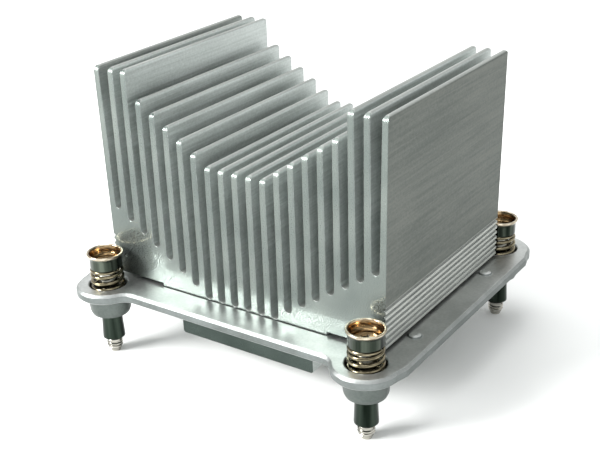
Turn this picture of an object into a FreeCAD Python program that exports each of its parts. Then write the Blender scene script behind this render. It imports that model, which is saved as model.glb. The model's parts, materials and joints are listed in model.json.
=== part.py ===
import FreeCAD, Part
import math
import os

# Passive CPU heatsink: an extruded fin body with a V-shaped valley, seated in the
# window of a cast mounting frame that carries four captive spring screws.
#
# Millimetres. The origin is the middle of the contact face that sits on the
# processor. +X runs across the fins, +Y along them (the way the air blows), and
# +Z points from the processor to the fin tips.

Vec = FreeCAD.Vector

# How far a piece is sunk into the one it is fused with, and how far a cutter stands
# clear of what it cuts.
sunk = 0.5
clear = 1.0

# ---- Captive screw pattern -------------------------------------------------
screw_span_x = 75.0
screw_span_y = 67.4
corners = {
    "front_left": (-1, -1),
    "front_right": (1, -1),
    "back_right": (1, 1),
    "back_left": (-1, 1),
}

# ---- Levels above the contact face -----------------------------------------
frame_top = 12.0
frame_thickness = 2.5
wing_gap = 0.85
valley_top = frame_top + 34.5
tall_top = frame_top + 54.0
lowest_slot_floor = frame_top + 0.15

# ---- Fin body --------------------------------------------------------------
fin_count = 21
fin_pitch = 3.85
fin_tip_thickness = 1.45
fin_root_thickness = 1.75
outer_fin_lean = 0.45
body_length = 56.4
step_per_fin = 2.57
tall_fins_per_side = 3
flat_fins_each_way = 2
flat_slots_each_way = 3
front_corner_radius = 1.5
back_corner_radius = 0.8

pedestal_width = 38.7
pedestal_length = 54.8
pedestal_chamfer = 0.4
core_width = 48.0

flank_inset = 0.2
rib_count = 7
rib_pitch = 1.42
groove_width = 0.72
groove_depth = 0.5

# ---- Mounting frame --------------------------------------------------------
frame_length = 72.4
frame_end_width = 89.0
side_rail_width = 92.6
side_rail_length = 62.4
ear_radius = 8.0
ear_shoulder_radius = 7.8
ear_blend = 4.0
top_chamfer = 0.6
bottom_chamfer = 0.4
window_clearance = 0.4
window_corner = 0.8

boss_top_radius = 5.6
boss_bottom_radius = 5.1
boss_length = 5.7
boss_round = 1.3

pip_x = 41.0
pip_y = 18.2
pip_radius = 1.7
pip_height = 0.6
pip_shoulder_radius = 1.45
pip_shoulder_height = 0.33
pip_crown_radius = 0.85

pad_x = 31.0
pad_y = 19.0
pad_radius = 4.2

# ---- Captive screw set -----------------------------------------------------
spring_seat_radius = 4.65
spring_seat_depth = 4.6
spring_seat_chamfer = 0.3
web_thickness = 1.3
running_clearance = 0.06
shank_radius = 2.3
thread_radius = 2.0
thread_end_radius = 1.3
thread_chamfer = 2.0
relief_radius = 1.6
relief_length = 0.5
sleeve_seat_radius = 2.15
sleeve_reach = 3.4
thread_reach = 3.8

sleeve_top_radius = 2.45
sleeve_foot_radius = 2.85
sleeve_foot_height = 0.9
sleeve_foot_chamfer = 0.4
sleeve_bore_in_boss = 3.05

cup_underside = frame_top + 4.4
cup_height = 4.1
cup_radius = 4.05
cup_rim_radius = 4.55
cup_wall = 0.45
cup_floor = 0.5
cup_base_chamfer = 0.5
cup_flare_height = 1.3
cup_lip = 0.3

head_radius = 3.2
head_height = 1.3
head_edge = 0.35
recess_reach = 1.75
recess_width = 0.85
recess_depth = 1.0

wire_diameter = 0.9
spring_top_radius = 4.15
spring_foot_radius = 4.5
spring_turns = 6.0
closed_turns = 0.75
closed_pitch = 0.945
points_per_turn = 10
wire_sides = 6
mitred_corners = 1
spring_end_gap = 0.01

# ---- Countersunk screws that hold the frame to the body ---------------------
frame_screw_radius = 1.5
frame_screw_head_radius = 2.8
frame_screw_head_height = 1.5
frame_screw_bite = 5.0
frame_screw_hole_spare = 0.5
frame_screw_clearance = 0.15
hex_reach = 1.0
hex_depth = 0.9

# ---- Worked out from the above ---------------------------------------------
frame_bottom = frame_top - frame_thickness
wing_bottom = frame_top + wing_gap
middle_fin = (fin_count + 1) / 2
flank_x = (fin_count - 1) / 2 * fin_pitch + fin_root_thickness / 2 - flank_inset
boss_bottom = frame_bottom - boss_length
spring_seat = frame_top - spring_seat_depth
web_bottom = spring_seat - web_thickness
cup_rim = cup_underside + cup_height
head_seat = cup_underside + cup_floor


def line(start, end):
    return Part.LineSegment(start, end).toShape()


def arc(start, middle, end):
    return Part.Arc(start, middle, end).toShape()


def box(half_x, half_y, low, high):
    """A block centred on the Z axis."""
    corner = Vec(-half_x, -half_y, low)
    return Part.makeBox(2 * half_x, 2 * half_y, high - low, corner)


def cylinder(radius, low, high, x=0.0, y=0.0):
    return Part.makeCylinder(radius, high - low, Vec(x, y, low))


def turned(outline):
    """A solid of revolution about Z from (radius, height) corners."""
    points = [Vec(radius, 0, height) for radius, height in outline]
    wire = Part.makePolygon(points + points[:1])
    return Part.Face(wire).revolve(Vec(0, 0, 0), Vec(0, 0, 1), 360)


def screw_place(name):
    """The axis of one captive screw."""
    side_x, side_y = corners[name]
    return Vec(side_x * screw_span_x / 2, side_y * screw_span_y / 2, 0)


def save(name, shape):
    solids = shape.Solids
    result = solids[0] if len(solids) == 1 else Part.makeCompound(solids)
    result.exportStep("parts/" + name + ".step")
    print(name, len(solids), "solid", result.isValid(), round(result.Volume, 1), "mm3")


# ---- Fin body --------------------------------------------------------------
def fin_x(number):
    return (number - middle_fin) * fin_pitch


def fin_top(number):
    """Tip height: flat in the valley, then a step per fin, then the tall outer fins."""
    out = abs(number - middle_fin)
    if out > middle_fin - 1 - tall_fins_per_side:
        return tall_top
    return valley_top + step_per_fin * max(0, out - flat_fins_each_way)


def slot_floor(number):
    """Floor of the slot between this fin and the next: it climbs with the fin tips."""
    out = abs(number + 0.5 - middle_fin)
    steps = max(0, out + 0.5 - flat_slots_each_way)
    return lowest_slot_floor + step_per_fin * steps


def flank(side):
    """The ribbed lower flank, from the wing's underside up, as edges at x = side * flank_x."""
    edges = []
    x = side * flank_x
    start = Vec(x, 0, wing_bottom)
    for rib in range(rib_count):
        ridge_top = Vec(x, 0, wing_bottom + (rib + 1) * rib_pitch - groove_width)
        groove_middle = Vec(x - side * groove_depth, 0, ridge_top.z + groove_width / 2)
        groove_top = Vec(x, 0, ridge_top.z + groove_width)
        edges.append(line(start, ridge_top))
        edges.append(arc(ridge_top, groove_middle, groove_top))
        start = groove_top
    return edges, start


def fin_side(number, side):
    """Where one face of a fin meets its rounded tip; the outermost fins lean outward a little."""
    out = number - middle_fin
    lean = math.copysign(outer_fin_lean, out) if abs(out) == middle_fin - 1 else 0
    x = fin_x(number) + lean + side * fin_tip_thickness / 2
    return Vec(x, 0, fin_top(number) - fin_tip_thickness / 2)


def fin_tip_arc(number):
    left = fin_side(number, -1)
    right = fin_side(number, 1)
    return arc(left, Vec((left.x + right.x) / 2, 0, fin_top(number)), right)


def body_section():
    """The extrusion's section: pedestal, core, wings, flanks, slots and fins."""
    half_pedestal = pedestal_width / 2
    half_core = core_width / 2
    under = [
        Vec(-flank_x, 0, wing_bottom),
        Vec(-half_core, 0, wing_bottom),
        Vec(-half_core, 0, frame_bottom),
        Vec(-half_pedestal, 0, frame_bottom),
        Vec(-half_pedestal, 0, pedestal_chamfer),
        Vec(-half_pedestal + pedestal_chamfer, 0, 0),
    ]
    under += [Vec(-point.x, 0, point.z) for point in reversed(under)]
    edges = [line(a, b) for a, b in zip(under, under[1:])]
    right_flank, right_top = flank(1)
    left_flank, left_top = flank(-1)
    edges += right_flank + left_flank
    edges.append(line(right_top, fin_side(fin_count, 1)))
    edges.append(line(left_top, fin_side(1, -1)))
    slot_round = (fin_pitch - fin_root_thickness) / 2
    for number in range(1, fin_count + 1):
        edges.append(fin_tip_arc(number))
        if number == fin_count:
            continue
        floor = slot_floor(number)
        slot_x = fin_x(number) + fin_pitch / 2
        left = Vec(slot_x - slot_round, 0, floor + slot_round)
        right = Vec(slot_x + slot_round, 0, floor + slot_round)
        edges.append(line(fin_side(number, 1), left))
        edges.append(arc(left, Vec(slot_x, 0, floor), right))
        edges.append(line(right, fin_side(number + 1, -1)))
    return Part.Face(Part.Wire(Part.__sortEdges__(edges)))


def fin_corner(number, y_end, radius):
    """What rounding takes off a fin's top corner at one end of the extrusion."""
    inward = -math.copysign(1, y_end)
    top = fin_top(number)
    x = fin_x(number) - fin_pitch / 2
    start = Vec(x, y_end, top - radius)
    finish = Vec(x, y_end + inward * radius, top)
    bend = radius * (1 - math.sqrt(0.5))
    above = finish + Vec(0, 0, clear)
    beyond = start - Vec(0, inward * clear, 0)
    edges = [
        arc(start, Vec(x, y_end + inward * bend, top - bend), finish),
        line(finish, above),
        line(above, Vec(x, beyond.y, above.z)),
        line(Vec(x, beyond.y, above.z), beyond),
        line(beyond, start),
    ]
    return Part.Face(Part.Wire(edges)).extrude(Vec(fin_pitch, 0, 0))


def make_fin_body():
    half = body_length / 2
    section = body_section()
    section.translate(Vec(0, -half, 0))
    body = section.extrude(Vec(0, body_length, 0))
    cuts = []
    for number in range(1, fin_count + 1):
        cuts.append(fin_corner(number, -half, front_corner_radius))
        cuts.append(fin_corner(number, half, back_corner_radius))
    for side in (-1, 1):
        end = box(pedestal_width, clear, -clear, frame_bottom)
        end.translate(Vec(0, side * (pedestal_length / 2 + clear), 0))
        cuts.append(end)
    hole_end = wing_bottom + frame_screw_bite + frame_screw_hole_spare
    for x, y in pad_places():
        cuts.append(cylinder(frame_screw_radius, wing_bottom - clear, hole_end, x, y))
    return body.cut(Part.makeCompound(cuts))


# ---- Mounting frame --------------------------------------------------------
def pad_places():
    return [(side_x * pad_x, side_y * pad_y) for side_x, side_y in corners.values()]


def upright_edges(shape, spots):
    """The vertical edges that stand at any of the given (x, y) spots."""
    found = []
    for edge in shape.Edges:
        start, finish = edge.Vertexes[0].Point, edge.Vertexes[-1].Point
        upright = abs(start.x - finish.x) + abs(start.y - finish.y) < 0.01
        if upright and any(math.hypot(start.x - x, start.y - y) < 0.05 for x, y in spots):
            found.append(edge)
    return found


def level_edges(shape, level):
    """The edges of the outer rim that lie at one height."""
    return [
        edge
        for edge in shape.Edges
        if abs(edge.BoundBox.ZMin - level) < 0.001 and abs(edge.BoundBox.ZMax - level) < 0.001
    ]


def every_quarter(x, y):
    return [(side_x * x, side_y * y) for side_x, side_y in corners.values()]


def ear_shoulder(name):
    """Fills the corner between a side rail and its ear with a straight, nearly tangent edge."""
    side_x, side_y = corners[name]
    axis = screw_place(name)
    corner = Vec(side_x * side_rail_width / 2, side_y * side_rail_length / 2, 0)
    reach = corner - axis
    turn = math.acos(ear_shoulder_radius / reach.Length) * side_x * side_y
    angle = math.atan2(reach.y, reach.x) + turn
    touch = axis + Vec(math.cos(angle), math.sin(angle), 0) * ear_shoulder_radius
    beside = Vec(axis.x, corner.y, 0)
    face = Part.Face(Part.makePolygon([axis, beside, corner, touch, axis]))
    face.translate(Vec(0, 0, frame_bottom))
    return face.extrude(Vec(0, 0, frame_thickness))


def frame_plate():
    """The plate before its window: end rails, wider side rails, a round ear at each corner."""
    low, high = frame_bottom, frame_top
    plate = box(frame_end_width / 2, frame_length / 2, low, high)
    added = [box(side_rail_width / 2, side_rail_length / 2, low, high)]
    for name in corners:
        place = screw_place(name)
        added.append(cylinder(ear_radius, low, high, place.x, place.y))
        added.append(ear_shoulder(name))
    plate = plate.multiFuse(added).removeSplitter()
    axis_x, axis_y = screw_span_x / 2, screw_span_y / 2
    ear_meets_end = axis_x - math.sqrt(ear_radius**2 - (frame_length / 2 - axis_y) ** 2)
    inner_corners = upright_edges(plate, every_quarter(ear_meets_end, frame_length / 2))
    plate = plate.makeFillet(ear_blend, inner_corners)
    plate = plate.makeChamfer(top_chamfer, level_edges(plate, high))
    return plate.makeChamfer(bottom_chamfer, level_edges(plate, low))


def boss():
    """The tapered guide under an ear, before its bores; two cones round its lower edge."""
    halfway = boss_round * (1 - math.sqrt(0.5))
    return turned([
        (0, frame_bottom + sunk),
        (boss_top_radius, frame_bottom + sunk),
        (boss_top_radius, frame_bottom),
        (boss_bottom_radius, boss_bottom + boss_round),
        (boss_bottom_radius - halfway, boss_bottom + halfway),
        (boss_bottom_radius - boss_round, boss_bottom),
        (0, boss_bottom),
    ])


def boss_bores():
    """Spring seat from above, running bore through the web, sleeve bore from below."""
    return turned([
        (0, boss_bottom - clear),
        (sleeve_bore_in_boss, boss_bottom - clear),
        (sleeve_bore_in_boss, web_bottom),
        (shank_radius + running_clearance, web_bottom),
        (shank_radius + running_clearance, spring_seat),
        (spring_seat_radius, spring_seat),
        (spring_seat_radius, frame_top - spring_seat_chamfer),
        (spring_seat_radius + spring_seat_chamfer, frame_top),
        (spring_seat_radius + spring_seat_chamfer, frame_top + clear),
        (0, frame_top + clear),
    ])


def pip():
    """A low cast dome on a side rail, in two cones and a flat crown."""
    return turned([
        (0, frame_top - sunk),
        (pip_radius, frame_top - sunk),
        (pip_radius, frame_top),
        (pip_shoulder_radius, frame_top + pip_shoulder_height),
        (pip_crown_radius, frame_top + pip_height),
        (0, frame_top + pip_height),
    ])


def frame_screw_hole():
    """A clearance hole with a countersink that opens downward."""
    hole = frame_screw_radius + frame_screw_clearance
    mouth = frame_screw_head_radius + frame_screw_clearance
    return turned([
        (0, frame_bottom - clear),
        (mouth, frame_bottom - clear),
        (mouth, frame_bottom),
        (hole, frame_bottom + frame_screw_head_height),
        (hole, wing_bottom + clear),
        (0, wing_bottom + clear),
    ])


def moved(shape, x, y):
    copy = shape.copy()
    copy.translate(Vec(x, y, 0))
    return copy


def make_mounting_frame():
    half_window_x = core_width / 2 + window_clearance
    half_window_y = body_length / 2 + window_clearance
    window = box(half_window_x, half_window_y, frame_bottom - clear, frame_top + clear)
    window_corners = upright_edges(window, every_quarter(half_window_x, half_window_y))
    frame = frame_plate().cut(window.makeFillet(window_corner, window_corners))
    places = [screw_place(name) for name in corners]
    added = [moved(boss(), place.x, place.y) for place in places]
    added += [moved(pip(), x, y) for x, y in every_quarter(pip_x, pip_y)]
    added += [cylinder(pad_radius, frame_top - sunk, wing_bottom, x, y) for x, y in pad_places()]
    frame = frame.multiFuse(added)
    cuts = [moved(boss_bores(), place.x, place.y) for place in places]
    cuts += [moved(frame_screw_hole(), x, y) for x, y in pad_places()]
    return frame.cut(Part.makeCompound(cuts)).removeSplitter()


# ---- Captive screw set, each piece made on the Z axis ------------------------
def make_screw():
    """Round head with a cross recess, shank, seat for the sleeve, relief groove, threaded end."""
    foot = -sleeve_reach
    tip = foot - thread_reach
    head_top = head_seat + head_height
    shape = turned([
        (0, tip),
        (thread_end_radius, tip),
        (thread_radius, tip + thread_chamfer),
        (thread_radius, foot - relief_length),
        (relief_radius, foot - relief_length),
        (relief_radius, foot),
        (sleeve_seat_radius, foot),
        (sleeve_seat_radius, web_bottom),
        (shank_radius, web_bottom),
        (shank_radius, head_seat),
        (head_radius, head_seat),
        (head_radius, head_top - head_edge),
        (head_radius - head_edge, head_top),
        (0, head_top),
    ])
    recess_floor = head_top - recess_depth
    arm = box(recess_reach, recess_width / 2, recess_floor, head_top + clear)
    other_arm = box(recess_width / 2, recess_reach, recess_floor, head_top + clear)
    return shape.cut(arm.fuse(other_arm).removeSplitter())


def make_sleeve():
    """The standoff sleeve pressed on the shank from below; its top is the upper stop."""
    foot = -sleeve_reach
    return turned([
        (sleeve_seat_radius, foot),
        (sleeve_foot_radius - sleeve_foot_chamfer, foot),
        (sleeve_foot_radius, foot + sleeve_foot_chamfer),
        (sleeve_foot_radius, foot + sleeve_foot_height),
        (sleeve_top_radius, web_bottom),
        (sleeve_seat_radius, web_bottom),
    ])


def make_cup():
    """The drawn driver guide: a thin cup with a flared rim and a hole in its floor."""
    hole = shank_radius + running_clearance
    inner = cup_radius - cup_wall
    flare_start = cup_rim - cup_flare_height
    return turned([
        (hole, cup_underside),
        (cup_radius - cup_base_chamfer, cup_underside),
        (cup_radius, cup_underside + cup_base_chamfer),
        (cup_radius, flare_start),
        (cup_rim_radius, cup_rim - cup_lip),
        (cup_rim_radius - cup_lip, cup_rim),
        (inner, flare_start),
        (inner, cup_underside + cup_floor),
        (hole, cup_underside + cup_floor),
    ])


def make_spring():
    """A slightly conical compression spring with closed ends, from the boss's seat to the cup."""
    low = spring_seat + wire_diameter / 2 + spring_end_gap
    rise = cup_underside - spring_seat - wire_diameter - 2 * spring_end_gap
    open_turns = spring_turns - 2 * closed_turns
    open_pitch = (rise - 2 * closed_turns * closed_pitch) / open_turns
    points = []
    for step in range(int(spring_turns * points_per_turn) + 1):
        turns = step / points_per_turn
        in_open = min(max(turns - closed_turns, 0), open_turns)
        z = low + (turns - in_open) * closed_pitch + in_open * open_pitch
        taper = (spring_foot_radius - spring_top_radius) * turns / spring_turns
        coil_radius = spring_foot_radius - taper - wire_diameter / 2
        angle = math.radians(360 * turns)
        points.append(Vec(coil_radius * math.cos(angle), coil_radius * math.sin(angle), z))
    along = (points[1] - points[0]).normalize()
    across = along.cross(Vec(0, 0, 1)).normalize()
    upward = across.cross(along)
    corner_radius = wire_diameter / 2 / math.cos(math.pi / wire_sides)
    ring = []
    for side in range(wire_sides):
        angle = math.pi * (2 * side + 1) / wire_sides
        out = across * math.cos(angle) + upward * math.sin(angle)
        ring.append(points[0] + out * corner_radius)
    wire_section = Part.makePolygon(ring + ring[:1])
    return Part.makePolygon(points).makePipeShell([wire_section], True, False, mitred_corners)


def make_frame_screw():
    """Countersunk screw driven up from under the frame into the wing."""
    shape = turned([
        (0, frame_bottom),
        (frame_screw_head_radius, frame_bottom),
        (frame_screw_radius, frame_bottom + frame_screw_head_height),
        (frame_screw_radius, wing_bottom + frame_screw_bite),
        (0, wing_bottom + frame_screw_bite),
    ])
    hexagon = []
    for side in range(6):
        angle = math.radians(60 * side)
        hexagon.append(Vec(hex_reach * math.cos(angle), hex_reach * math.sin(angle), 0))
    socket = Part.Face(Part.makePolygon(hexagon + hexagon[:1]))
    socket.translate(Vec(0, 0, frame_bottom - clear))
    return shape.cut(socket.extrude(Vec(0, 0, clear + hex_depth)))


def main():
    os.makedirs("parts", exist_ok=True)
    save("fin_body", make_fin_body())
    save("mounting_frame", make_mounting_frame())
    captive_pieces = {
        "captive_screw": make_screw(),
        "standoff_sleeve": make_sleeve(),
        "driver_cup": make_cup(),
        "spring": make_spring(),
    }
    for corner in corners:
        place = screw_place(corner)
        for piece, shape in captive_pieces.items():
            save(piece + "_" + corner, moved(shape, place.x, place.y))
    for corner, (x, y) in zip(corners, pad_places()):
        save("frame_screw_" + corner, moved(make_frame_screw(), x, y))


main()
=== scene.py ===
import json
import math

import bmesh
import bpy
from mathutils import Matrix, Vector


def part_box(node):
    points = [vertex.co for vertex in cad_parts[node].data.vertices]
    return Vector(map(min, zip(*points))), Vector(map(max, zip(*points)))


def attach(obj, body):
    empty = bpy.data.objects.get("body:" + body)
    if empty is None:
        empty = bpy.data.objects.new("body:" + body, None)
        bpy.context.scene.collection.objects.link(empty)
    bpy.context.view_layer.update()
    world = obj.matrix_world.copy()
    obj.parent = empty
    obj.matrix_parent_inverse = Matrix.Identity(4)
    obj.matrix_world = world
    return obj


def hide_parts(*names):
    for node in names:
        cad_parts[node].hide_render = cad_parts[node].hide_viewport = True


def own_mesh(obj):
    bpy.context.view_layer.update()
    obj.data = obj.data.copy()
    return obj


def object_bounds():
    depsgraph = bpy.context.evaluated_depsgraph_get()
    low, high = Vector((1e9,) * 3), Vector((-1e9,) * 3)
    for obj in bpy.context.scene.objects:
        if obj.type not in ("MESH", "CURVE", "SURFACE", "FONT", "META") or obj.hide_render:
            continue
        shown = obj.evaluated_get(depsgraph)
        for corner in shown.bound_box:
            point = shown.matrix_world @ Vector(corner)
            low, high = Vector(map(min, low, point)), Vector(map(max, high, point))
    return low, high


MM = 0.001
CORNERS = ("front_left", "front_right", "back_right", "back_left")

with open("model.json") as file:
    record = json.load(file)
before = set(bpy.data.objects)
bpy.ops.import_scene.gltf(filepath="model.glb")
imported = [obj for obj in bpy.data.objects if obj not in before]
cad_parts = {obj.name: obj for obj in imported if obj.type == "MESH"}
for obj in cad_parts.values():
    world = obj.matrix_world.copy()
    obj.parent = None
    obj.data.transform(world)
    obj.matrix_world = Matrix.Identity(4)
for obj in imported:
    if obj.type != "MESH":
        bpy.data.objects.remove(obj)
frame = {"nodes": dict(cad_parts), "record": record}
cad_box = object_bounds()


# ---- Sizes, in millimetres --------------------------------------------------------
# Levels above the face that meets the processor: the web in each boss, the frame, the ribs.
WEB_BOTTOM = 6.1
FRAME_UNDERSIDE = 9.5
RIBS_END = 22.9

# Fin body, out to each side from its middle.
OUTER_WALL = 38.2
RIB_CREST = 38.95

# Driver cup: radii, thicknesses, what lies below its top edge, and the rounds of its corners.
SHANK_HOLE = 2.36
CUP_BARREL = 4.05
CUP_WALL = 0.45
CUP_FLOOR = 0.5
FLARE_HEIGHT = 1.5
FLARE_SWELL = 0.22
THROAT_HEIGHT = 1.7
THROAT_MIDDLE = 1.0
THROAT_SWELL = 0.12
LIP_HEIGHT = 0.42
LIP_WIDTH = 0.55
FOOT_ROUND = 0.45
FLOOR_ROUND = 0.3
LIP_ROUND = 0.2
UNDER_LIP_ROUND = 0.12

# Spring: wire thickness, outer radii at foot and top, and what is ground off each end.
WIRE = 0.9
SPRING_FOOT = 4.5
SPRING_TOP = 4.15
GROUND = 0.3

# Captive screw: radii of head, shank and sleeve seat, then the dome of its head from the flat
# on top to the shoulder and down to the edge, with the rounds of those two rings.
HEAD = 3.2
SHANK = 2.3
SLEEVE_SEAT = 2.15
HEAD_HEIGHT = 1.3
DOME_FLAT = 1.9
DOME_SHOULDER = 2.5
SHOULDER_DROP = 0.08
SHOULDER_ROUND = 0.3
EDGE_DROP = 0.5
EDGE_ROUND = 0.2

# Thread: radii, lengths from the tip, and the shape of its ridge, which is rooted in the core.
THREAD_CREST = 2.0
THREAD_ROOT = 1.72
THREAD_PITCH = 0.7
THREAD_LENGTH = 3.8
RELIEF = 0.5
FLANK = 0.42 * THREAD_PITCH
CREST_FLAT = 0.13 * THREAD_PITCH
RIDGE_ROOTED = 0.1
# The core narrows to one radius at the tip, and the ridge runs out to another.
TIP_END = 1.3
TIP_TAPER = 1.2
THREAD_END = 1.25
THREAD_TAPER = 1.6

# Cross recess: span and width of its arms, its depth, and how they shrink at the bottom.
RECESS_SPAN = 3.5
RECESS_ARM = 0.85
RECESS_DEPTH = 1.0
RECESS_TAPER = (0.45, 0.75, 1.0)

# Distances within which points count as one, and as lying on a ring.
SAME_POINT = 1e-5
SAME_RING = 0.002

# ---- Counts and angles ------------------------------------------------------------
SPRING_TURNS = 6.0
CLOSED_TURNS = 0.75
STEPS_PER_TURN = 40
WIRE_SIDES = 14
CUP_STEPS = 80
SCREW_STEPS = 64
SHARP_ANGLE = math.radians(38)

# ---- Stage, in metres: floor from its middle to each edge, and what the lights face ---
FLOOR_REACH = 3.0
LIGHTS_AIM = Vector((0, 0, 0.03))


# ---- Shading helpers --------------------------------------------------------------
# A noise pattern lies mostly between these two values.
NOISE_LOW = 0.3
NOISE_HIGH = 0.7


def linear(hex_colour):
    """An sRGB hex colour as the linear values that shaders read."""
    channels = [int(hex_colour[i : i + 2], 16) / 255 for i in (1, 3, 5)]
    curve = [c / 12.92 if c <= 0.04045 else ((c + 0.055) / 1.055) ** 2.4 for c in channels]
    return (*curve, 1.0)


def add(tree, kind, inputs=None, **settings):
    """A node with its settings, and each input either linked or set.

    A Mix node's sockets share their names, so they go by number: 0 is the cover, 2 and 3 are the
    numbers under and over it, and 6 and 7 the colours. A number comes out of 0, a colour out of 2.
    """
    node = tree.nodes.new(kind)
    for name, value in settings.items():
        setattr(node, name, value)
    for socket, value in (inputs or {}).items():
        if isinstance(value, bpy.types.NodeSocket):
            tree.links.new(value, node.inputs[socket])
        else:
            node.inputs[socket].default_value = value
    return node


def metal(name):
    """A metal's material, its node tree and its shader, ready for its colour and roughness."""
    material = bpy.data.materials.new(name)
    material.use_nodes = True
    tree = material.node_tree
    shader = tree.nodes["Principled BSDF"]
    shader.inputs["Metallic"].default_value = 1.0
    return material, tree, shader


def pattern(tree, grain, detail=2.0):
    """Noise in object space, with the length of its grains along each axis in millimetres."""
    place = add(tree, "ShaderNodeTexCoord").outputs["Object"]
    stretch = [1 / (length * MM) for length in grain]
    mapped = add(tree, "ShaderNodeMapping", {"Vector": place, "Scale": stretch}).outputs["Vector"]
    noise = add(tree, "ShaderNodeTexNoise", {"Vector": mapped, "Scale": 1.0, "Detail": detail})
    return noise.outputs["Fac"]


def tint(tree, cover, dark, light, spread=0.12):
    """A colour that goes from dark to light as a pattern goes from spread below its middle to
    spread above it."""
    limits = {"Value": cover, "From Min": 0.5 - spread, "From Max": 0.5 + spread}
    level = add(tree, "ShaderNodeMapRange", limits).outputs["Result"]
    colours = {0: level, 6: linear(dark), 7: linear(light)}
    return add(tree, "ShaderNodeMix", colours, data_type="RGBA").outputs[2]


def beyond(tree, source, axis, edge, soft):
    """0 to 1 as a point's place, or the way its surface faces, passes an edge along one axis.

    Both ways along the axis count alike, but for heights.
    """
    vector = add(tree, "ShaderNodeTexCoord").outputs[source]
    part = add(tree, "ShaderNodeSeparateXYZ", {"Vector": vector}).outputs[axis]
    if source == "Normal" or axis != "Z":
        part = add(tree, "ShaderNodeMath", {0: part}, operation="ABSOLUTE").outputs[0]
    limits = {"Value": part, "From Min": edge - soft, "From Max": edge + soft}
    return add(tree, "ShaderNodeMapRange", limits).outputs["Result"]


def worn_edges(tree, shader, radius, height, strength, depth):
    """Rounds the sharp edges in the shading, over a fine unevenness of the surface."""
    edge = add(tree, "ShaderNodeBevel", {"Radius": radius * MM}, samples=4).outputs["Normal"]
    inputs = {"Strength": strength, "Distance": depth * MM, "Height": height, "Normal": edge}
    bump = add(tree, "ShaderNodeBump", inputs).outputs["Normal"]
    tree.links.new(bump, shader.inputs["Normal"])


# ---- Finishes ---------------------------------------------------------------------
def extruded_aluminium():
    """Mill-finish extrusion: satin fin faces with die lines along the fins, outer walls darkened with
    painted shade and scuffed by handling, and ends cut by a mill, smooth enough to mirror what stands
    near them. Rib crests carry a painted highlight; grooves, flat tops and the pedestal carry painted
    shade."""
    material, tree, shader = metal("extruded_aluminium")
    # Die lines are about 0.1 mm apart; they are drawn 0.36 mm apart so that they show.
    lines = pattern(tree, (0.36, 25, 0.36), detail=3.0)
    # Scuffs from sliding in a tray run the same way, 0.8 mm wide.
    scuffs = pattern(tree, (0.8, 22, 0.8), detail=3.0)
    # Clouds from handling and oxide, 12 to 20 mm across.
    clouds = pattern(tree, (12.5, 20, 12.5))
    # Oxide speckle, about 0.5 mm across.
    speckle = pattern(tree, (0.5, 0.7, 0.5), detail=3.0)
    grain = add(tree, "ShaderNodeMix", {0: 0.3, 2: lines, 3: clouds}).outputs[0]
    grain = add(tree, "ShaderNodeMix", {0: 0.3, 2: grain, 3: speckle}).outputs[0]
    worn = add(tree, "ShaderNodeMix", {0: 0.25, 2: grain, 3: scuffs}).outputs[0]

    fins = tint(tree, grain, "#b3b9b6", "#d0d5d3")
    # Painted shade: the outer wall is drawn far darker than the fin faces; the scuffs on it are real wear.
    wall_painted_shade_and_scuffs = tint(tree, worn, "#5c615d", "#767974", spread=0.1)
    # Painted highlight on the rib crests, and painted shade in the grooves between them.
    crest = tint(tree, grain, "#b0b3ae", "#c8cbc6")
    groove_painted_shade = tint(tree, grain, "#474a47", "#575a56")
    # Painted shade: faces that lie flat, such as the fin tops, are drawn darker than the fin faces.
    tips = tint(tree, grain, "#9c9f9c", "#b4b7b3")
    cut_block = tint(tree, clouds, "#636a67", "#747a76", spread=0.2)
    # Painted shade on the pedestal's cut ends, which lie under the frame.
    pedestal_painted_shade = tint(tree, clouds, "#3b4440", "#4a534f", spread=0.2)

    on_crest = beyond(tree, "Object", "X", edge=RIB_CREST * MM, soft=0.08 * MM)
    above_ribs = beyond(tree, "Object", "Z", edge=RIBS_END * MM, soft=0.3 * MM)
    outside = beyond(tree, "Object", "X", edge=OUTER_WALL * MM, soft=0.2 * MM)
    lying_flat = beyond(tree, "Normal", "Z", edge=0.6, soft=0.2)
    above_frame = beyond(tree, "Object", "Z", edge=FRAME_UNDERSIDE * MM, soft=0.3 * MM)
    on_end = beyond(tree, "Normal", "Y", edge=0.4, soft=0.15)

    ribs = add(tree, "ShaderNodeMix", {0: on_crest, 6: groove_painted_shade, 7: crest}, data_type="RGBA").outputs[2]
    outer = add(tree, "ShaderNodeMix", {0: above_ribs, 6: ribs, 7: wall_painted_shade_and_scuffs}, data_type="RGBA").outputs[2]
    sides = add(tree, "ShaderNodeMix", {0: outside, 6: fins, 7: outer}, data_type="RGBA").outputs[2]
    drawn = add(tree, "ShaderNodeMix", {0: lying_flat, 6: sides, 7: tips}, data_type="RGBA").outputs[2]
    ends = {0: above_frame, 6: pedestal_painted_shade, 7: cut_block}
    ends = add(tree, "ShaderNodeMix", ends, data_type="RGBA").outputs[2]
    whole = add(tree, "ShaderNodeMix", {0: on_end, 6: drawn, 7: ends}, data_type="RGBA").outputs[2]
    tree.links.new(whole, shader.inputs["Base Color"])

    satin = {"Value": lines, "From Min": NOISE_LOW, "From Max": NOISE_HIGH, "To Min": 0.48, "To Max": 0.62}
    satin = add(tree, "ShaderNodeMapRange", satin).outputs["Result"]
    # Between the mill's marks lie flat, polished lands; both are finer than they are drawn here.
    lands = pattern(tree, (0.3, 0.3, 0.18), detail=1.0)
    lands = {"Value": lands, "From Min": 0.4, "From Max": 0.5, "To Min": 0.12, "To Max": 0.55}
    lands = add(tree, "ShaderNodeMapRange", lands).outputs["Result"]
    roughness = add(tree, "ShaderNodeMix", {0: on_end, 2: satin, 3: lands}).outputs[0]
    tree.links.new(roughness, shader.inputs["Roughness"])
    worn_edges(tree, shader, radius=0.35, height=grain, strength=0.12, depth=0.02)
    return material


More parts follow.
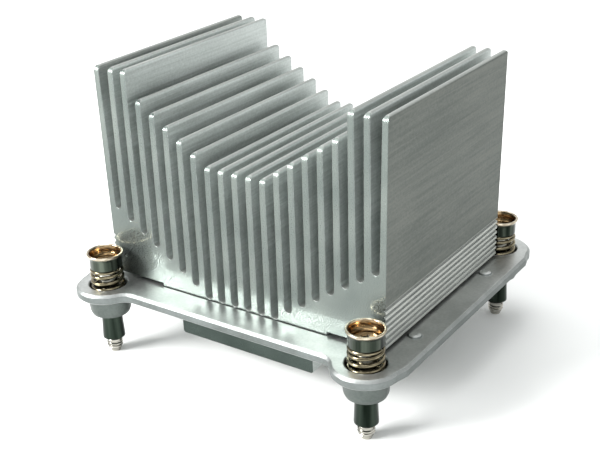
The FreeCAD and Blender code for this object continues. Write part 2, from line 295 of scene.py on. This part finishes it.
def cast_aluminium():
    """Die-cast frame: a linished, satin top, and grainy sides and bosses darkened with painted shade."""
    material, tree, shader = metal("cast_aluminium")
    # The skin's grain is about 0.2 mm across; it is drawn 0.6 mm across so that it shows.
    skin = pattern(tree, (0.62, 0.62, 0.62), detail=4.0)
    # Clouds from the linishing belt and from handling, some 8 mm across.
    clouds = pattern(tree, (8.3, 8.3, 8.3))
    mixed = add(tree, "ShaderNodeMix", {0: 0.4, 2: clouds, 3: skin}).outputs[0]
    top = tint(tree, mixed, "#b0b3b1", "#cccecc", spread=0.14)
    # Painted shade: the sides are drawn darker than the top, and the bosses under the frame darker still.
    side = tint(tree, mixed, "#656a68", "#7c8180", spread=0.14)
    boss = tint(tree, mixed, "#4d5350", "#646a67", spread=0.14)
    lying_flat = beyond(tree, "Normal", "Z", edge=0.75, soft=0.15)
    # Painted shade on the bosses starts just under the frame.
    above_bosses = beyond(tree, "Object", "Z", edge=(FRAME_UNDERSIDE - 0.2) * MM, soft=0.3 * MM)
    rails_painted_shade = add(tree, "ShaderNodeMix", {0: lying_flat, 6: side, 7: top}, data_type="RGBA").outputs[2]
    whole = add(tree, "ShaderNodeMix", {0: above_bosses, 6: boss, 7: rails_painted_shade}, data_type="RGBA")
    tree.links.new(whole.outputs[2], shader.inputs["Base Color"])
    satin = {"Value": skin, "From Min": NOISE_LOW, "From Max": NOISE_HIGH, "To Min": 0.34, "To Max": 0.46}
    roughness = add(tree, "ShaderNodeMapRange", satin).outputs["Result"]
    tree.links.new(roughness, shader.inputs["Roughness"])
    worn_edges(tree, shader, radius=0.45, height=skin, strength=0.25, depth=0.05)
    return material


def plated(name, dark, light, roughness, grain):
    """Bright metal plate: a near mirror whose tone and gloss wander with the tool marks under it, or
    with painted reflection bands on drawn pieces; their lengths along each axis are given in millimetres."""
    material, tree, shader = metal(name)
    marks = pattern(tree, grain)
    tree.links.new(tint(tree, marks, dark, light, spread=0.15), shader.inputs["Base Color"])
    polish = {
        "Value": marks,
        "From Min": NOISE_LOW,
        "From Max": NOISE_HIGH,
        "To Min": roughness * 0.7,
        "To Max": roughness * 1.5,
    }
    polish = add(tree, "ShaderNodeMapRange", polish).outputs["Result"]
    tree.links.new(polish, shader.inputs["Roughness"])
    return material


# Turning leaves marks round a piece, 0.2 mm apart; painted reflection bands run along drawn pieces, 2 mm
# wide.
TURNED = (1.7, 1.7, 0.2)
REFLECTION_BANDS = (2.2, 2.2, 100)

finishes = {
    "extruded_aluminium": extruded_aluminium(),
    "cast_frame": cast_aluminium(),
    # Nickel on turned steel is a pale mirror, a little warm.
    "nickel_plate": plated("nickel", "#8f8d86", "#c2bfb6", 0.12, TURNED),
    # The same nickel on spring wire is drawn darker and browner as painted dark reflection, and glints
    # along each turn.
    "spring_wire": plated("spring_nickel_painted_dark_reflection", "#4f4938", "#968d76", 0.11, TURNED),
    # Clear zinc plate is cooler and less bright than nickel.
    "zinc_screw": plated("zinc_plate", "#8b8e8f", "#c4c7c8", 0.2, TURNED),
    # The cup's drawn barrel is nearly black with painted dark reflection, and has painted pale reflection
    # bands down it.
    "cup_outside": plated("nickel_painted_dark_reflection", "#141c16", "#5b6258", 0.1, REFLECTION_BANDS),
    # Inside the cup the plate has gone the colour of brass, and is a little duller.
    "cup_inside": plated("warm_nickel", "#6b573e", "#d0b48c", 0.17, TURNED),
    # The cup's lip keeps a pale nickel tone, without the barrel's painted dark reflection.
    "cup_rim": plated("rim_nickel", "#978a76", "#d6cbb8", 0.12, TURNED),
    # On the sleeves, nickel is drawn nearly black as painted dark reflection, with painted reflection
    # bands along the sleeve.
    "sleeve": plated("sleeve_nickel_painted_dark_reflection", "#101712", "#363f38", 0.1, REFLECTION_BANDS),
}


def dress_cad_nodes():
    """Gives each CAD node the finish of its slot in the record, and the sleeves their own."""
    slots = {part["node"]: part["material_slot"] for part in frame["record"]["subparts"]}
    for node, piece in frame["nodes"].items():
        finish = "sleeve" if node.startswith("standoff_sleeve") else slots[node]
        piece.data.materials.clear()
        piece.data.materials.append(finishes[finish])


# ---- Making pieces ----------------------------------------------------------------
def place_of(node):
    """The upright axis through a CAD node, and the node's lowest and highest levels, in mm."""
    low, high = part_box(node)
    middle = (low + high) / 2
    return Vector((middle.x, middle.y, 0)), low.z / MM, high.z / MM


def mesh_from(name, bm):
    """A mesh from a finished bmesh, which is freed."""
    mesh = bpy.data.meshes.new(name)
    bm.to_mesh(mesh)
    bm.free()
    return mesh


def put_in_scene(name, data):
    """An object in the scene that holds a mesh, a light or a camera."""
    thing = bpy.data.objects.new(name, data)
    bpy.context.scene.collection.objects.link(thing)
    return thing


def move_to(bm, place):
    """Turns a mesh's millimetres into metres and moves it to its place in the frame."""
    bmesh.ops.scale(bm, verts=bm.verts, vec=(MM, MM, MM))
    bmesh.ops.translate(bm, verts=bm.verts, vec=place)


def shade(mesh):
    """Smooth shading that breaks at sharp corners."""
    mesh.shade_smooth()
    mesh.set_sharp_from_angle(angle=SHARP_ANGLE)


def finish_piece(name, bm, axis, materials, body, stands_for):
    """Puts a millimetre mesh on its axis in the frame, shades it and ties it to its body."""
    move_to(bm, axis)
    mesh = mesh_from(name, bm)
    shade(mesh)
    for material in materials:
        mesh.materials.append(material)
    piece = put_in_scene(name, mesh)
    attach(piece, body)
    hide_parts(stands_for)
    return piece


def close_up(bm):
    """Fills the open ends of a mesh and turns its faces outwards."""
    bmesh.ops.holes_fill(bm, edges=[e for e in bm.edges if e.is_boundary], sides=0)
    bmesh.ops.recalc_face_normals(bm, faces=bm.faces)


def draw_in(vert, inwards):
    """Moves a point towards the axis."""
    reach = vert.co.xy.length
    vert.co.xy *= (reach - inwards) / reach


# ---- Turned and coiled pieces -----------------------------------------------------
def on_ring(vert, radius, height):
    """Whether a point lies on a ring of a solid of revolution."""
    return abs(vert.co.xy.length - radius) < SAME_RING and abs(vert.co.z - height) < SAME_RING


def spun(outline, softened, steps):
    """A solid of revolution from (radius, height) points. What is softened is a list of rings,
    each with its radius, its height and the width of its round."""
    bm = bmesh.new()
    chain = [bm.verts.new((radius, 0, height)) for radius, height in outline]
    pairs = list(zip(chain, chain[1:]))
    # An outline that doesn't start on the axis is closed on itself.
    if outline[0][0] > 0:
        pairs.append((chain[-1], chain[0]))
    edges = [bm.edges.new(pair) for pair in pairs]
    bmesh.ops.spin(
        bm,
        geom=chain + edges,
        cent=(0, 0, 0),
        axis=(0, 0, 1),
        dvec=(0, 0, 0),
        angle=math.tau,
        steps=steps,
        use_merge=True,
    )
    bmesh.ops.remove_doubles(bm, verts=bm.verts, dist=SAME_POINT)
    bmesh.ops.recalc_face_normals(bm, faces=bm.faces)
    for radius, height, width in softened:
        ring = [edge for edge in bm.edges if all(on_ring(v, radius, height) for v in edge.verts)]
        bmesh.ops.bevel(
            bm,
            geom=ring,
            offset=width,
            offset_type="OFFSET",
            segments=4,
            profile=0.5,
            affect="EDGES",
            material=-1,
        )
    return bm


def coil_on(bm, section, turns, rise):
    """Carries a ring of edges on round the axis by some turns, and returns it at the new end."""
    steps = round(turns * STEPS_PER_TURN)
    result = bmesh.ops.spin(
        bm,
        geom=section,
        cent=(0, 0, 0),
        axis=(0, 0, 1),
        dvec=(0, 0, rise / steps),
        angle=math.tau * turns,
        steps=steps,
        use_merge=False,
    )
    return result["geom_last"]


def make_cup(corner):
    """A drawn driver cup: rounded foot, straight barrel, flared and rolled lip."""
    node = "driver_cup_" + corner
    axis, low, high = place_of(node)
    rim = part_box(node)[1].x / MM - axis.x / MM
    mouth = rim - LIP_WIDTH
    inner = CUP_BARREL - CUP_WALL
    floor = low + CUP_FLOOR
    under_lip = high - LIP_HEIGHT
    flare_middle = high - FLARE_HEIGHT / 2
    outline = [
        (SHANK_HOLE, low),
        (CUP_BARREL, low),
        (CUP_BARREL, high - FLARE_HEIGHT),
        (CUP_BARREL + FLARE_SWELL, flare_middle),
        (rim, under_lip),
        (rim, high),
        (mouth, high),
        (inner + THROAT_SWELL, high - THROAT_MIDDLE),
        (inner, high - THROAT_HEIGHT),
        (inner, floor),
        (SHANK_HOLE, floor),
    ]
    softened = [
        (CUP_BARREL, low, FOOT_ROUND),
        (rim, under_lip, UNDER_LIP_ROUND),
        (rim, high, LIP_ROUND),
        (mouth, high, LIP_ROUND),
        (inner, floor, FLOOR_ROUND),
    ]
    bm = spun(outline, softened, CUP_STEPS)
    outside, inside, lip = range(3)
    # The well lies within the throat and above the floor, with some slack for flare and rounds.
    for face in bm.faces:
        middle = face.calc_center_median()
        in_the_well = middle.xy.length < inner + 0.3 and middle.z > floor - 0.05
        faces_axis = middle.xy.dot(face.normal.xy) <= 0.001 and face.normal.z > -0.2
        if in_the_well and faces_axis:
            face.material_index = inside
        elif middle.z > flare_middle:
            face.material_index = lip
        else:
            face.material_index = outside
    materials = [finishes["cup_outside"], finishes["cup_inside"], finishes["cup_rim"]]
    body = "plunger_" + corner
    finish_piece("drawn_cup_" + corner, bm, axis, materials, body, node)


def make_spring(corner):
    """Round nickel-plated wire, a little wider at the foot, with closed and ground ends."""
    node = "spring_" + corner
    axis, low, high = place_of(node)
    length = high - low
    place = Matrix.Translation((SPRING_FOOT - WIRE / 2, 0, low + WIRE / 2 - GROUND))
    start = place @ Matrix.Rotation(math.pi / 2, 4, "X")
    bm = bmesh.new()
    bmesh.ops.create_circle(bm, cap_ends=False, segments=WIRE_SIDES, radius=WIRE / 2, matrix=start)
    ring = bm.verts[:] + bm.edges[:]
    closed_rise = CLOSED_TURNS * WIRE
    open_rise = length - WIRE + 2 * GROUND - 2 * closed_rise
    ring = coil_on(bm, ring, CLOSED_TURNS, closed_rise)
    ring = coil_on(bm, ring, SPRING_TURNS - 2 * CLOSED_TURNS, open_rise)
    coil_on(bm, ring, CLOSED_TURNS, closed_rise)
    bmesh.ops.remove_doubles(bm, verts=bm.verts, dist=SAME_POINT)
    for vert in bm.verts:
        climb = (vert.co.z - low) / length
        draw_in(vert, (SPRING_FOOT - SPRING_TOP) * climb)
    # Grinding cuts both ends flat at the levels of the seat and of the cup.
    for level, outward in ((low, -1), (high, 1)):
        everything = bm.verts[:] + bm.edges[:] + bm.faces[:]
        bmesh.ops.bisect_plane(
            bm, geom=everything, plane_co=(0, 0, level), plane_no=(0, 0, outward), clear_outer=True
        )
    close_up(bm)
    wire = [finishes["spring_wire"]]
    spring = finish_piece("coil_" + corner, bm, axis, wire, "heatsink", node)
    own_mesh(spring)


def cut_cross(piece, top):
    """Sinks a tapered cross recess into the head from its top."""
    bm = bmesh.new()
    for turn in (0, math.pi / 2):
        arm = bmesh.ops.create_cube(bm, size=1.0)["verts"]
        bmesh.ops.scale(bm, verts=arm, vec=(RECESS_SPAN, RECESS_ARM, 2 * RECESS_DEPTH))
        bottom = [v for v in arm if v.co.z < 0]
        bmesh.ops.scale(bm, verts=bottom, vec=RECESS_TAPER)
        bmesh.ops.rotate(bm, verts=arm, cent=(0, 0, 0), matrix=Matrix.Rotation(turn, 3, "Z"))
    move_to(bm, top)
    cutter = put_in_scene("cross_cutter", mesh_from("cross_cutter", bm))
    cut = piece.modifiers.new("recess", "BOOLEAN")
    cut.object = cutter
    cut.operation = "DIFFERENCE"
    cut.solver = "EXACT"
    # The arms cross each other, and the thread's ridge is rooted in the core.
    cut.use_self = True
    evaluated = piece.evaluated_get(bpy.context.evaluated_depsgraph_get())
    piece.data = bpy.data.meshes.new_from_object(evaluated)
    piece.modifiers.clear()
    shade(piece.data)
    bpy.data.objects.remove(cutter)


def cut_thread(bm, tip, foot):
    """Winds the thread's ridge round the core from its relief to its run-out at the tip."""
    core = set(bm.verts)
    crest = foot - RELIEF - FLANK
    rooted = THREAD_ROOT - RIDGE_ROOTED
    section = [
        (rooted, crest + FLANK),
        (THREAD_CREST, crest),
        (THREAD_CREST, crest - CREST_FLAT),
        (rooted, crest - CREST_FLAT - FLANK),
    ]
    ridge = [bm.verts.new((radius, 0, height)) for radius, height in section]
    ridge += [bm.edges.new((ridge[i], ridge[i - 1])) for i in range(len(section))]
    turns = (THREAD_LENGTH - RELIEF) / THREAD_PITCH - 1
    coil_on(bm, ridge, turns, -THREAD_PITCH * turns)
    for vert in set(bm.verts) - core:
        full = min(1, max(0, (vert.co.z - tip) / THREAD_TAPER))
        draw_in(vert, (THREAD_CREST - THREAD_END) * (1 - full))


def make_screw(corner):
    """Captive screw: domed head with a cross recess, plain shank, cut thread and tapered tip."""
    node = "captive_screw_" + corner
    axis, tip, top = place_of(node)
    foot = tip + THREAD_LENGTH
    seat = top - HEAD_HEIGHT
    edge = top - EDGE_DROP
    shoulder = top - SHOULDER_DROP
    outline = [
        (0, tip),
        (TIP_END, tip),
        (THREAD_ROOT, tip + TIP_TAPER),
        (THREAD_ROOT, foot),
        (SLEEVE_SEAT, foot),
        (SLEEVE_SEAT, WEB_BOTTOM),
        (SHANK, WEB_BOTTOM),
        (SHANK, seat),
        (HEAD, seat),
        (HEAD, edge),
        (DOME_SHOULDER, shoulder),
        (DOME_FLAT, top),
        (0, top),
    ]
    softened = [(HEAD, edge, EDGE_ROUND), (DOME_SHOULDER, shoulder, SHOULDER_ROUND)]
    bm = spun(outline, softened, SCREW_STEPS)
    cut_thread(bm, tip, foot)
    close_up(bm)
    plate = [finishes["nickel_plate"]]
    body = "screw_" + corner
    piece = finish_piece("threaded_screw_" + corner, bm, axis, plate, body, node)
    cut_cross(piece, axis + Vector((0, 0, top * MM)))


# ---- Stage ------------------------------------------------------------------------
def make_floor():
    """A wide sheet of matt, pale paper at the level of the screws' tips."""
    bm = bmesh.new()
    bmesh.ops.create_grid(bm, x_segments=1, y_segments=1, size=FLOOR_REACH)
    bmesh.ops.translate(bm, verts=bm.verts, vec=(0, 0, cad_box[0][2]))
    floor = put_in_scene("floor", mesh_from("floor", bm))
    paper = bpy.data.materials.new("white_paper")
    paper.use_nodes = True
    shader = paper.node_tree.nodes["Principled BSDF"]
    shader.inputs["Base Color"].default_value = linear("#e4e5e4")
    shader.inputs["Roughness"].default_value = 0.9
    floor.data.materials.append(paper)


def area_light(name, place, width, height, watts):
    """A softbox that faces the object."""
    light = bpy.data.lights.new(name, "AREA")
    light.shape = "RECTANGLE"
    light.size = width
    light.size_y = height
    light.energy = watts
    lamp = put_in_scene(name, light)
    lamp.location = place
    lamp.rotation_euler = (LIGHTS_AIM - Vector(place)).to_track_quat("-Z", "Y").to_euler()


def make_lights():
    """A key from the front left, a wide softbox overhead, and an even, nearly white room."""
    area_light("key_softbox", place=(-0.5, -0.66, 0.45), width=0.4, height=0.3, watts=18)
    area_light("top_softbox", place=(-0.2, -0.1, 0.9), width=0.8, height=0.8, watts=6)
    world = bpy.data.worlds.new("studio")
    bpy.context.scene.world = world
    world.use_nodes = True
    room = world.node_tree.nodes["Background"]
    room.inputs["Color"].default_value = linear("#f4f6f6")
    room.inputs["Strength"].default_value = 1.1


def make_camera():
    """Looks down at the front right corner, as a catalogue picture does."""
    place = Vector((142.345, -208.626, 135.324)) * MM
    yaw = math.radians(34.715)
    pitch = math.radians(25.536)
    roll = math.radians(-1.935)
    back = Vector((
        math.sin(yaw) * math.cos(pitch), -math.cos(yaw) * math.cos(pitch), math.sin(pitch)
    ))
    level = Vector((math.cos(yaw), math.sin(yaw), 0))
    upright = back.cross(level)
    right = level * math.cos(roll) + upright * math.sin(roll)
    up = upright * math.cos(roll) - level * math.sin(roll)
    turn = Matrix((right, up, back)).transposed()
    lens = bpy.data.cameras.new("camera")
    lens.sensor_width = 36.0
    lens.lens = 65.984
    lens.shift_y = 0.05
    lens.clip_start = 0.01
    camera = put_in_scene("camera", lens)
    camera.matrix_world = Matrix.Translation(place) @ turn.to_4x4()
    bpy.context.scene.camera = camera


dress_cad_nodes()
for corner in CORNERS:
    make_cup(corner)
    make_spring(corner)
    make_screw(corner)
make_floor()
make_lights()
make_camera()
bpy.context.scene.view_settings.view_transform = "Standard"
# Light reaches the floors of the slots only after many bounces between the fins.
bpy.context.scene.cycles.glossy_bounces = 10
bpy.context.scene.cycles.max_bounces = 16
